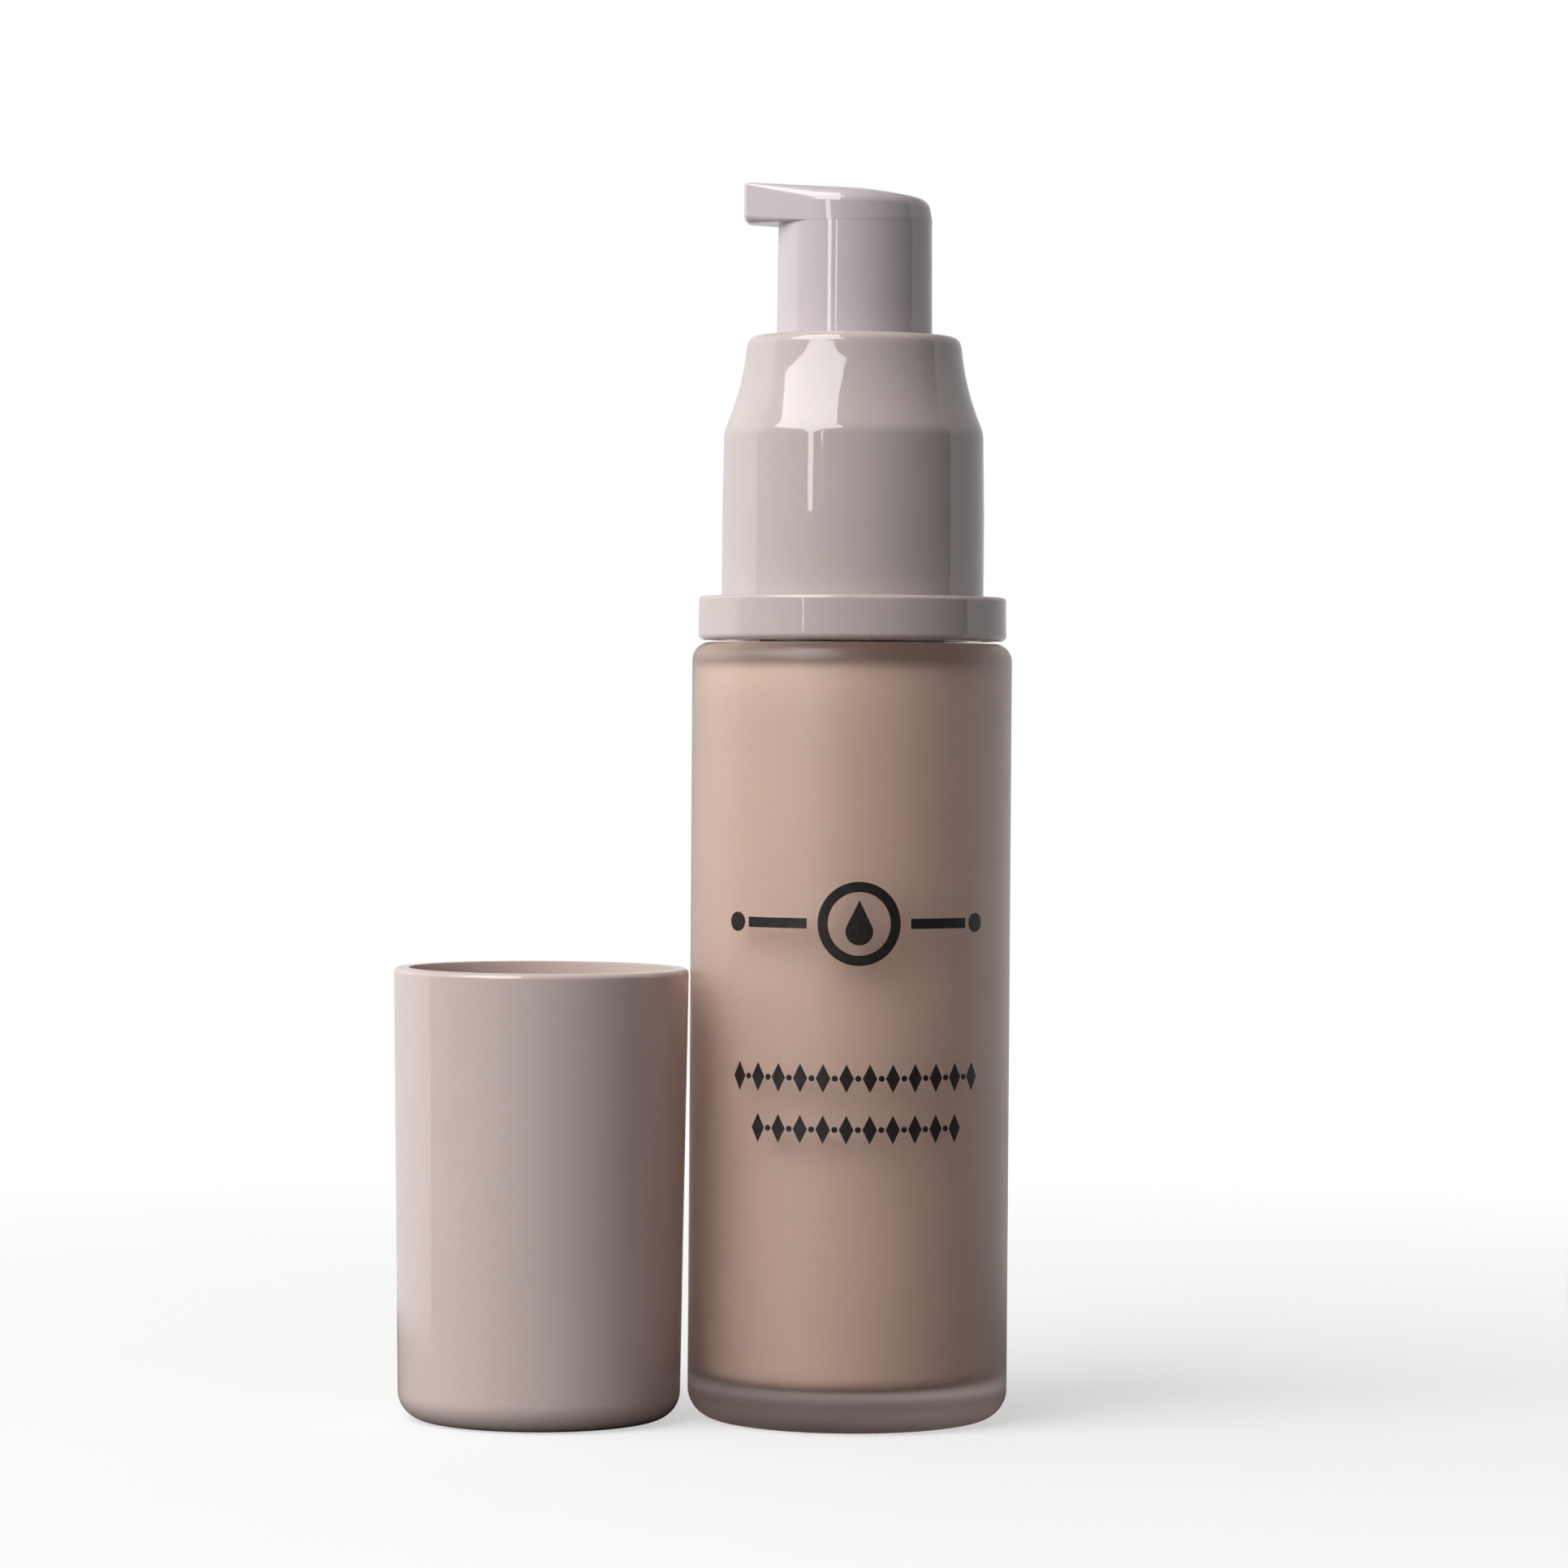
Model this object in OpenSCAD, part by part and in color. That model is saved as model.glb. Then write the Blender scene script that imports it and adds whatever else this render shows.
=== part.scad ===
// Foundation bottle: satin glass bottle, treatment pump with collar shell, and a loose overcap.
// Millimetres. +Z is up. The origin is the centre of the bottle's base. The spout points along -X.

/* [Bottle] */
// Outer radius of the glass cylinder
bottle_r = 16.0; // [15.8:0.1:18]
// Height of the flat glass shoulder above the base
shoulder_z = 77.6; // [72:0.1:100]
// Thickness of the glass around the liquid
glass_wall = 3.8; // [2.5:0.1:5]
// Thickness of the heavy glass base
glass_base = 3.9; // [3:0.1:10]
// Corner radius at the foot of the glass
foot_round = 3.0; // [1:0.1:3.5]
// Corner radius where the glass side meets the shoulder
shoulder_round = 1.8; // [0.5:0.1:2.2]
// Air space between the liquid and the top of its cavity
headspace = 0.5; // [0.5:0.1:10]

/* [Collar] */
// Height of the collar shell from its underside to its flat top
collar_h = 30.4; // [29.5:0.1:34]
// Height of the base ring that the overcap seats on
ring_h = 4.4; // [3:0.1:6]
// Outer radius of the base ring at its underside
ring_r = 15.42; // [14.9:0.01:15.7]
// Radius of the cylinder that guides the overcap
band_r = 13.1; // [13.05:0.05:13.4]

/* [Head] */
// Radius of the head's skirt at its foot
skirt_r = 7.84; // [7.7:0.01:8.1]
// Height of the spout's flat underside above the collar, at rest
spout_lift = 11.2; // [9:0.1:13]
// Height of the top face above the spout's underside, on the pump's axis
crown_h = 3.6; // [3.2:0.1:4.5]
// Fall of the top face from the spout to the back, in degrees
head_tilt = 3.9; // [0:0.1:5]
// Reach of the spout tip from the pump's axis
spout_reach = 11.1; // [10:0.1:12]
// Half of the spout tip's width
spout_half_w = 2.0; // [1.6:0.1:3]

/* [Pump] */
// Travel of the head from rest to fully pressed
stroke = 5.5; // [3:0.1:6]

/* [Overcap] */
// Distance from the bottle's axis to the loose overcap's axis, towards -X
cap_x = 30.8; // [30.8:0.1:60]
// Distance that the loose overcap stands forward of the bottle, towards -Y
cap_y = 2.4; // [0:0.1:20]
// Height of the overcap
cap_h = 45.0; // [44.5:0.1:60]
// Outer radius of the overcap at its rim
cap_r = 14.7; // [14.5:0.05:14.7]
// Narrowing of the overcap's outside from its rim to its closed end
cap_draught = 0.6; // [0:0.05:0.8]

/* [Hidden] */
$fn = 96;
eps = 0.02;
hull_fn = 32;

// glass
cavity_r = bottle_r - glass_wall;
cavity_top_z = shoulder_z - 1.2;
cavity_floor_round = 1.6;
cavity_top_round = 2.0;
fill_z = cavity_top_z - headspace;

// 20 mm screw neck with eight threads to the inch
neck_r = 8.9;
neck_bore_r = 6.2;
neck_top_z = shoulder_z + 13.4;
neck_fillet = 0.8;
lip_round = 0.6;
thread_crest_r = 9.9;
thread_pitch = 3.175;
thread_turns = 1.75;
thread_root_in = 0.3;
thread_z = neck_top_z - 8.8;

// collar shell
ring_z = shoulder_z + 0.2;
ring_top_z = ring_z + ring_h;
ring_top_r = ring_r - 0.06;
ring_low_round = 0.6;
ring_top_round = 0.35;
band_h = 8.2;
collar_top_z = ring_z + collar_h;
collar_top_r = 10.68;
collar_round = 1.0;
collar_plate_h = 1.3;
collar_hole_r = skirt_r + 0.21;

// trumpet: an arc whose centre lies outside the collar, met by a slight taper at a soft crease
flare_r = 27.0;
flare_x = 37.62;
flare_z = collar_top_z + 1.51;
crease_z = collar_top_z - 9.5;
crease_r = flare_x - sqrt(flare_r * flare_r - (flare_z - crease_z) * (flare_z - crease_z));
crease_round = 3.0;
flare_a = asin((flare_z - crease_z) / flare_r);
taper_a = atan((band_r - crease_r) / (crease_z - ring_top_z - band_h));

// pump parts held between the glass lip and the screw closure
gasket_h = 1.0;
gasket_r = neck_r - 0.1;
flange_z = neck_top_z + gasket_h;
flange_h = 1.2;
flange_r = 9.2;
flange_top_z = flange_z + flange_h;
chaplet_r = 6.2;
chaplet_top_z = flange_top_z + 2.1;

// screw closure
closure_r = 11.55;
closure_low_z = ring_z + 0.5;
closure_root_r = thread_crest_r + 0.3;
closure_crest_r = neck_r + 0.3;
closure_seat_r = 9.6;
plate_z = flange_top_z + 0.15;
plate_h = 1.35;
plate_hole_r = chaplet_r + 0.2;
closure_top_z = plate_z + plate_h;

// pump chamber
housing_r = 5.5;
chamber_r = 4.3;
ledge_z = neck_top_z - 23.0;
housing_cone_z = ledge_z - 1.5;
housing_neck_z = ledge_z - 4.5;
housing_foot_z = ledge_z - 14.5;
housing_neck_r = 3.1;
socket_top_z = ledge_z - 6.0;
plug_seat_z = neck_top_z - 3.6;
plug_bore_r = 4.9;
vent_z = neck_top_z - 6.2;
vent_r = 0.5;

// foot valve: a ball on a 45 degree seat
ball_r = 1.75;
cage_r = 2.3;
seat_low_r = 1.0;
seat_low_z = ledge_z - 4.4;
seat_high_z = seat_low_z + cage_r - seat_low_r;
ball_z = seat_low_z - seat_low_r + ball_r * sqrt(2) + eps;
tube_r = 2.0;
tube_bore_r = 1.3;

// piston, stem and its plug
plug_flange_z = ledge_z + 11.5;
plug_flange_h = 1.5;
plug_flange_r = 3.8;
stalk_r = 1.8;
stalk_top_z = neck_top_z + 0.5;
stem_r = 2.5;
stem_bore_r = 1.25;
stem_low_z = neck_top_z - 4.1;
piston_low_z = plug_flange_z + plug_flange_h + 0.1;
piston_top_z = neck_top_z - 3.8;

// head
head_draught = 0.16;
head_round = 1.3;
crown_sag = 0.55;
tip_drop = 0.3;
spout_z = collar_top_z + spout_lift;
crown_z = spout_z + crown_h;
skirt_top_r = skirt_r - head_draught;
skirt_z = collar_top_z - stroke - 1.7;
shell_bore_r = 6.75;
core_low_z = chaplet_top_z + stroke + 0.6;
core_disc_z = spout_z - 2.4;
core_disc_r = 6.6;
core_disc_h = 2.0;
core_r = 4.0;
stem_top_z = core_disc_z - 4.2;
nozzle_z = spout_z + 1.8;
nozzle_r = 1.3;
nozzle_bore_r = 0.75;

// overcap
cap_bore_r = band_r + 0.1;
cap_bore_h = 6.2;
cap_end_r = cap_r - cap_draught;
cap_inner_r = 12.6;
cap_end_wall = 2.3;

// A half profile with a rounded lower and upper outer corner.
module round_side(r, z0, z1, r_low, r_high) {
    translate([0, z0]) {
        square([r - r_low, (z1 - z0) / 2]);
    }
    translate([0, (z0 + z1) / 2]) {
        square([r - r_high, (z1 - z0) / 2]);
    }
    translate([0, z0 + r_low]) {
        square([r, z1 - z0 - r_low - r_high]);
    }
    translate([r - r_low, z0 + r_low]) {
        circle(r = r_low);
    }
    translate([r - r_high, z1 - r_high]) {
        circle(r = r_high);
    }
}

// A tube along Z.
module tube(r_out, r_in, z0, z1) {
    translate([0, 0, z0]) {
        difference() {
            cylinder(r = r_out, h = z1 - z0);
            translate([0, 0, -1]) {
                cylinder(r = r_in, h = z1 - z0 + 2);
            }
        }
    }
}

// A right-hand helical ridge between two radii, with run-out ends.
module ridge(r_root, r_crest, half_root, half_crest, turns, steps) {
    n = ceil(turns * steps);
    fade = steps / 6;
    function height(i) = max(0.08, min(1, min(i, n - i) / fade));
    function at(i, r, dz) = let (a = 360 * turns * i / n)
        [r * cos(a), r * sin(a), thread_pitch * turns * i / n + dz];
    function crest(i) = r_root + (r_crest - r_root) * height(i);
    points = [for (i = [0:n]) each [
        at(i, r_root, -half_root),
        at(i, crest(i), -half_crest),
        at(i, crest(i), half_crest),
        at(i, r_root, half_root)]];
    outward = r_crest > r_root;
    sides = [for (i = [0:n - 1], k = [0:3])
        let (a = 4 * i + k, b = 4 * i + (k + 1) % 4)
        each [[a, b, b + 4], [a, b + 4, a + 4]]];
    ends = [[0, 3, 2], [0, 2, 1], [4 * n, 4 * n + 1, 4 * n + 2], [4 * n, 4 * n + 2, 4 * n + 3]];
    all_faces = concat(sides, ends);
    faces = outward ? all_faces : [for (f = all_faces) [f[2], f[1], f[0]]];
    polyhedron(points = points, faces = faces, convexity = 6);
}

module bottle() {
    color([0.72, 0.68, 0.66, 0.5])
    union() {
        rotate_extrude() {
            difference() {
                union() {
                    round_side(bottle_r, 0, shoulder_z, foot_round, shoulder_round);
                    round_side(neck_r, shoulder_z - 2, neck_top_z, 0.1, lip_round);
                    difference() {
                        translate([neck_r - 1, shoulder_z - 1]) {
                            square([1 + neck_fillet, 1 + neck_fillet]);
                        }
                        translate([neck_r + neck_fillet, shoulder_z + neck_fillet]) {
                            circle(r = neck_fillet);
                        }
                    }
                }
                round_side(cavity_r, glass_base, cavity_top_z, cavity_floor_round, cavity_top_round);
                translate([0, cavity_top_z - 1]) {
                    square([neck_bore_r, neck_top_z - cavity_top_z + 3]);
                }
            }
        }
        translate([0, 0, thread_z]) {
            ridge(neck_r - thread_root_in, thread_crest_r, 0.95, 0.45, thread_turns, 32);
        }
    }
}

module foundation_fill() {
    gap = 0.3;
    color([0.78, 0.62, 0.53])
    rotate_extrude() {
        difference() {
            intersection() {
                round_side(cavity_r - eps, glass_base + eps, cavity_top_z, cavity_floor_round,
                           cavity_top_round);
                square([bottle_r, fill_z]);
            }
            translate([0, glass_base + 0.5]) {
                square([tube_r + gap, fill_z]);
            }
            translate([0, housing_foot_z - gap]) {
                square([housing_neck_r + gap, fill_z]);
            }
            translate([0, housing_neck_z - gap]) {
                square([housing_r + gap, fill_z]);
            }
        }
    }
}

// Outside of the collar shell, up to its sharp crease.
module collar_outline() {
    // base ring
    polygon([
        [0, ring_z + ring_low_round],
        [ring_r, ring_z + ring_low_round],
        [ring_top_r, ring_top_z - ring_top_round],
        [0, ring_top_z - ring_top_round]]);
    translate([0, ring_z]) {
        square([ring_r - ring_low_round, 1]);
    }
    translate([0, ring_top_z - 1]) {
        square([ring_top_r - ring_top_round, 1]);
    }
    translate([ring_r - ring_low_round, ring_z + ring_low_round]) {
        circle(r = ring_low_round);
    }
    translate([ring_top_r - ring_top_round, ring_top_z - ring_top_round]) {
        circle(r = ring_top_round);
    }
    // guide band, then the taper
    translate([0, ring_top_z - 1]) {
        square([band_r, band_h + 1]);
    }
    polygon([
        [0, ring_top_z + band_h],
        [band_r, ring_top_z + band_h],
        [crease_r, crease_z],
        [0, crease_z]]);
    // trumpet
    difference() {
        translate([0, crease_z]) {
            square([crease_r + 0.5, collar_top_z - collar_round - crease_z]);
        }
        translate([flare_x, flare_z]) {
            circle(r = flare_r, $fn = 360);
        }
    }
    // rounded top edge
    translate([0, collar_top_z - 2 * collar_round]) {
        square([collar_top_r - collar_round, 2 * collar_round]);
    }
    translate([collar_top_r - collar_round, collar_top_z - collar_round]) {
        circle(r = collar_round);
    }
}

// The sliver that rounding takes off the crease.
module crease_sliver() {
    reach = crease_round * tan((flare_a - taper_a) / 2);
    low = [crease_r + reach * sin(taper_a), crease_z - reach * cos(taper_a)];
    high = [crease_r - reach * sin(flare_a), crease_z + reach * cos(flare_a)];
    difference() {
        polygon([low, [crease_r + 1, crease_z], high]);
        translate([low[0] - crease_round * cos(taper_a), low[1] - crease_round * sin(taper_a)]) {
            circle(r = crease_round);
        }
    }
}

module collar_shell() {
    ring_skin = 1.2;
    groove_r = band_r - 0.1;
    color([0.70, 0.66, 0.66])
    rotate_extrude() {
        difference() {
            collar_outline();
            crease_sliver();
            // pocket for the screw closure
            translate([0, ring_z - 1]) {
                square([closure_r + 0.1, closure_top_z + 0.2 - ring_z + 1]);
            }
            // hollow under the trumpet
            polygon([
                [0, closure_top_z],
                [11.1, closure_top_z],
                [11.1, crease_z],
                [10.0, crease_z + 3.9],
                [9.3, crease_z + 6.9],
                [9.3, collar_top_z - collar_plate_h],
                [0, collar_top_z - collar_plate_h]]);
            // hole for the head
            translate([0, collar_top_z - 3]) {
                square([collar_hole_r, 4]);
            }
            // groove that keeps the ring's wall even
            translate([groove_r, ring_z - 1]) {
                square([ring_top_r - ring_skin - groove_r, ring_h - ring_skin + 1]);
            }
        }
    }
}

module screw_closure() {
    color([0.86, 0.86, 0.84])
    union() {
        rotate_extrude() {
            difference() {
                round_side(closure_r, closure_low_z, closure_top_z, 0.3, 0.5);
                translate([0, closure_low_z - 1]) {
                    square([closure_root_r, flange_z - 1.5 - closure_low_z + 1]);
                }
                translate([0, flange_z - 2]) {
                    square([closure_seat_r, plate_z - flange_z + 2]);
                }
                translate([0, plate_z - 1]) {
                    square([plate_hole_r, plate_h + 2]);
                }
            }
        }
        translate([0, 0, thread_z - thread_pitch / 2]) {
            ridge(closure_root_r + thread_root_in, closure_crest_r, 0.8, 0.4, thread_turns, 32);
        }
    }
}

module neck_gasket() {
    color([0.25, 0.25, 0.26])
    tube(gasket_r, housing_r + 0.1, neck_top_z + eps, flange_z - eps);
}

module pump_housing() {
    nib_z = 67.3;
    nib_in_r = 1.5;
    color([0.90, 0.90, 0.88, 0.8])
    difference() {
        union() {
            difference() {
                rotate_extrude() {
                    union() {
                        translate([0, flange_z]) {
                            square([flange_r, flange_h]);
                        }
                        translate([0, housing_cone_z]) {
                            square([housing_r, flange_z - housing_cone_z + 0.5]);
                        }
                        polygon([
                            [0, housing_neck_z],
                            [housing_neck_r, housing_neck_z],
                            [housing_r, housing_cone_z],
                            [0, housing_cone_z]]);
                        translate([0, housing_foot_z]) {
                            square([housing_neck_r, housing_neck_z - housing_foot_z]);
                        }
                    }
                }
                translate([0, 0, ledge_z]) {
                    cylinder(r = chamber_r, h = 40);
                }
                translate([0, 0, plug_seat_z]) {
                    cylinder(r = plug_bore_r, h = 20);
                }
                translate([0, 0, seat_high_z]) {
                    cylinder(r = cage_r, h = 10);
                }
            }
            // nibs that stop the ball from floating up
            intersection() {
                translate([0, 0, nib_z]) {
                    cylinder(r = cage_r + 0.3, h = ledge_z - nib_z);
                }
                difference() {
                    for (a = [0, 120, 240]) {
                        rotate([0, 0, a]) {
                            translate([0, -0.4, nib_z - 1]) {
                                cube([cage_r + 0.3, 0.8, 3]);
                            }
                        }
                    }
                    translate([0, 0, nib_z - 2]) {
                        cylinder(r = nib_in_r, h = 5);
                    }
                }
            }
        }
        // conical seat, inlet and tube socket
        translate([0, 0, seat_low_z]) {
            cylinder(r1 = seat_low_r, r2 = cage_r, h = cage_r - seat_low_r);
        }
        translate([0, 0, socket_top_z - 1]) {
            cylinder(r = seat_low_r, h = 3);
        }
        translate([0, 0, housing_foot_z - 1]) {
            cylinder(r = tube_r + 0.03, h = socket_top_z - housing_foot_z + 1);
        }
        // vent
        translate([0, 0, vent_z]) {
            rotate([0, 90, 0]) {
                cylinder(r = vent_r, h = 10);
            }
        }
    }
}

module dip_tube() {
    tip_z = glass_base + 0.8;
    tube_top_z = socket_top_z - 0.1;
    color([0.92, 0.92, 0.90, 0.7])
    difference() {
        tube(tube_r, tube_bore_r, tip_z, tube_top_z);
        // slanted foot
        translate([0, 0, tip_z + tube_r]) {
            rotate([0, 45, 0]) {
                translate([-10, -10, -20]) {
                    cube([20, 20, 20]);
                }
            }
        }
    }
}

module inlet_ball() {
    color([0.75, 0.76, 0.78])
    translate([0, 0, ball_z]) {
        sphere(r = ball_r);
    }
}

module return_spring() {
    wire_r = 0.3;
    mean_r = 3.4;
    coils = 7;
    dead = 0.9;
    steps = 24;
    sides = 8;
    low = ledge_z + eps + wire_r;
    high = plug_flange_z - eps - wire_r;
    closed_pitch = 0.62;
    active_pitch = (high - low - 2 * dead * closed_pitch) / (coils - 2 * dead);
    n = coils * steps;
    function rise(t) = t < dead ? t * closed_pitch
        : t > coils - dead ? high - low - (coils - t) * closed_pitch
        : dead * closed_pitch + (t - dead) * active_pitch;
    points = [for (i = [0:n], k = [0:sides - 1])
        let (t = i / steps, a = 360 * t, b = 360 * k / sides, r = mean_r + wire_r * cos(b))
        [r * cos(a), r * sin(a), low + rise(t) + wire_r * sin(b)]];
    wall = [for (i = [0:n - 1], k = [0:sides - 1])
        let (a = sides * i + k, b = sides * i + (k + 1) % sides)
        each [[a, b, b + sides], [a, b + sides, a + sides]]];
    first = [[for (k = [0:sides - 1]) sides - 1 - k]];
    last = [[for (k = [0:sides - 1]) sides * n + k]];
    color([0.72, 0.73, 0.75])
    polyhedron(points = points, faces = concat(wall, first, last), convexity = 10);
}

module piston() {
    lip_r = chamber_r - 0.03;
    lip_h = 1.0;
    waist_r = 3.6;
    web_h = 1.6;
    sleeve_r = 2.5;
    sleeve_bore_r = stalk_r + 0.08;
    sleeve_top_z = stem_low_z - 0.5 - eps;
    lip_low_z = piston_low_z + 1.1;
    web_z = (lip_low_z + piston_top_z - web_h) / 2;
    color([0.88, 0.86, 0.78])
    rotate_extrude() {
        difference() {
            union() {
                translate([0, piston_low_z]) {
                    square([sleeve_r, sleeve_top_z - piston_low_z]);
                }
                translate([0, web_z]) {
                    square([waist_r, web_h]);
                }
                // upper and lower lips
                polygon([
                    [waist_r - 0.7, lip_low_z],
                    [lip_r, lip_low_z],
                    [lip_r, lip_low_z + lip_h],
                    [waist_r, lip_low_z + 2],
                    [waist_r, piston_top_z - 2],
                    [lip_r, piston_top_z - lip_h],
                    [lip_r, piston_top_z],
                    [waist_r - 0.1, piston_top_z],
                    [waist_r - 0.7, web_z + 1]]);
            }
            square([sleeve_bore_r, 2 * piston_top_z]);
        }
    }
}

module stem_plug() {
    flute_w = 0.9;
    color([0.84, 0.86, 0.90])
    difference() {
        union() {
            translate([0, 0, plug_flange_z]) {
                cylinder(r = plug_flange_r, h = plug_flange_h);
            }
            translate([0, 0, plug_flange_z]) {
                cylinder(r = stalk_r, h = stalk_top_z - plug_flange_z);
            }
            // centring boss inside the spring
            translate([0, 0, plug_flange_z - 1.6]) {
                cylinder(r1 = 2.2, r2 = 2.6, h = 1.7);
            }
        }
        // flutes for the liquid
        for (a = [0, 90, 180, 270]) {
            rotate([0, 0, a]) {
                translate([0.7, -flute_w / 2, plug_flange_z + plug_flange_h]) {
                    cube([3, flute_w, 20]);
                }
            }
        }
    }
}

module pump_stem() {
    color([0.90, 0.90, 0.90])
    rotate_extrude() {
        difference() {
            translate([0, stem_low_z]) {
                square([stem_r, stem_top_z - stem_low_z]);
            }
            translate([0, stem_low_z - 1]) {
                square([stalk_r + 0.02, stalk_top_z + 0.1 - stem_low_z + 1]);
            }
            translate([0, stem_low_z]) {
                square([stem_bore_r, 60]);
            }
        }
    }
}

module chaplet() {
    guide_r = stem_r + 0.06;
    color([0.88, 0.88, 0.86])
    rotate_extrude() {
        difference() {
            union() {
                translate([0, plug_seat_z + 0.03]) {
                    square([plug_bore_r - 0.03, flange_top_z - plug_seat_z + 0.5]);
                }
                round_side(chaplet_r, flange_top_z + eps, chaplet_top_z, 0.1, 0.5);
            }
            square([guide_r, 200]);
            // relief above the piston
            translate([0, plug_seat_z - 1]) {
                square([4.0, 2.2]);
            }
        }
    }
}

module actuator_core() {
    rib_w = 1.0;
    rib_z = core_low_z + 3;
    boss_r = 2.5;
    boss_top_z = nozzle_z + 0.75;
    color([0.86, 0.84, 0.84])
    difference() {
        union() {
            translate([0, 0, core_low_z]) {
                cylinder(r = core_r, h = core_disc_z - core_low_z + 1);
            }
            translate([0, 0, core_disc_z]) {
                cylinder(r = core_disc_r, h = core_disc_h);
            }
            translate([0, 0, core_disc_z + 1]) {
                cylinder(r = boss_r, h = boss_top_z - core_disc_z - 1);
            }
            for (a = [45, 135, 225, 315]) {
                rotate([0, 0, a]) {
                    translate([core_r - 0.5, -rib_w / 2, rib_z]) {
                        cube([core_disc_r - core_r + 0.3, rib_w, core_disc_z + 1 - rib_z]);
                    }
                }
            }
            translate([0, 0, nozzle_z]) {
                rotate([0, -90, 0]) {
                    cylinder(r = nozzle_r, h = spout_reach - 0.7);
                }
            }
        }
        // stem socket
        translate([0, 0, core_low_z - 1]) {
            cylinder(r = stem_r + 0.03, h = stem_top_z + 0.1 - core_low_z + 1);
        }
        // riser and outlet channel
        translate([0, 0, stem_top_z - 1]) {
            cylinder(r = stem_bore_r, h = nozzle_z - stem_top_z + 1);
        }
        translate([0, 0, nozzle_z]) {
            rotate([0, -90, 0]) {
                cylinder(r = nozzle_bore_r, h = spout_reach + 1);
            }
        }
    }
}

// A ring of round section, flat on the XY plane.
module torus(r, section_r) {
    rotate_extrude() {
        translate([r, 0]) {
            circle(r = section_r, $fn = hull_fn);
        }
    }
}

// A shallow dome with a rounded edge, its highest point at the origin.
module crown_dome() {
    edge_r = skirt_top_r - head_round;
    slope = atan(2 * crown_sag / edge_r);
    rim_r = edge_r + head_round * sin(slope);
    rim_z = -crown_sag * pow(rim_r / edge_r, 2);
    rings = 6;
    translate([0, 0, rim_z - head_round * cos(slope)]) {
        torus(edge_r, head_round);
    }
    rotate_extrude() {
        polygon([
            [0, rim_z],
            for (i = [rings:-1:0]) [rim_r * i / rings, rim_z * pow(i / rings, 2)]]);
    }
}

// Outer form of the head above the skirt: a domed disc drawn out into a narrow spout.
module head_form() {
    side_round = 0.8;
    top_round = 0.3;
    hull() {
        // underside of the disc, just proud of the skirt below it
        translate([0, 0, spout_z]) {
            cylinder(r = skirt_top_r + eps, h = 0.4);
        }
        // domed crown and the top corners of the spout tip, on the tilted top face
        translate([0, 0, crown_z]) {
            rotate([0, head_tilt, 0]) {
                crown_dome();
                for (s = [-1, 1]) {
                    translate([side_round - spout_reach, s * (spout_half_w - side_round),
                               -tip_drop - top_round]) {
                        torus(side_round - top_round, top_round, $fn = hull_fn);
                    }
                }
            }
        }
        // lower corners of the spout tip
        for (s = [-1, 1]) {
            translate([side_round - spout_reach, s * (spout_half_w - side_round),
                       spout_z + side_round]) {
                sphere(r = side_round, $fn = hull_fn);
            }
        }
    }
}

module actuator_shell() {
    pocket_r = 5.9;
    color([0.76, 0.73, 0.75])
    difference() {
        union() {
            head_form();
            translate([0, 0, skirt_z]) {
                cylinder(r1 = skirt_r, r2 = skirt_top_r, h = spout_z + 0.2 - skirt_z);
            }
        }
        // stepped hollow for the core
        translate([0, 0, skirt_z - 1]) {
            cylinder(r = shell_bore_r, h = core_disc_z + core_disc_h + 0.1 - skirt_z + 1);
        }
        translate([0, 0, core_disc_z]) {
            cylinder(r = pocket_r, h = nozzle_z - 0.4 - core_disc_z);
        }
        translate([0, 0, core_disc_z]) {
            cylinder(r = 2.7, h = nozzle_z + 0.85 - core_disc_z);
        }
        // bore for the outlet tube, then the outlet itself
        translate([0, 0, nozzle_z]) {
            rotate([0, -90, 0]) {
                cylinder(r = nozzle_r + 0.05, h = spout_reach - 0.6);
            }
        }
        translate([0, 0, nozzle_z]) {
            rotate([0, -90, 0]) {
                cylinder(r = nozzle_bore_r + 0.1, h = spout_reach + 5);
            }
        }
    }
}

// The overcap stands on its closed end with its rim up.
module overcap() {
    end_round = 2.8;
    rim_round = 0.5;
    color([0.72, 0.66, 0.65])
    translate([-cap_x, -cap_y, 0]) {
        rotate_extrude() {
            difference() {
                union() {
                    polygon([
                        [0, end_round],
                        [cap_end_r, end_round],
                        [cap_r, cap_h - rim_round],
                        [0, cap_h - rim_round]]);
                    square([cap_end_r - end_round, end_round + 1]);
                    translate([cap_end_r - end_round, end_round]) {
                        circle(r = end_round);
                    }
                    translate([0, cap_h - 2 * rim_round]) {
                        square([cap_r - rim_round, 2 * rim_round]);
                    }
                    translate([cap_r - rim_round, cap_h - rim_round]) {
                        circle(r = rim_round);
                    }
                }
                // draughted inside, then the cylindrical band at the mouth
                polygon([
                    [0, cap_end_wall],
                    [cap_inner_r - 1, cap_end_wall],
                    [cap_inner_r, cap_end_wall + 1],
                    [cap_bore_r - 0.15, cap_h - cap_bore_h],
                    [cap_bore_r, cap_h - cap_bore_h],
                    [cap_bore_r, cap_h + 1],
                    [0, cap_h + 1]]);
            }
        }
    }
}

bottle();
foundation_fill();
collar_shell();
actuator_shell();
overcap();
actuator_core();
pump_stem();
stem_plug();
piston();
chaplet();
pump_housing();
return_spring();
inlet_ball();
dip_tube();
neck_gasket();
screw_closure();
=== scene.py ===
"""Looks for the foundation bottle: satin glass bottle, treatment pump and loose overcap."""

import math

import bmesh
import bpy
from mathutils import Matrix, Vector


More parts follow.
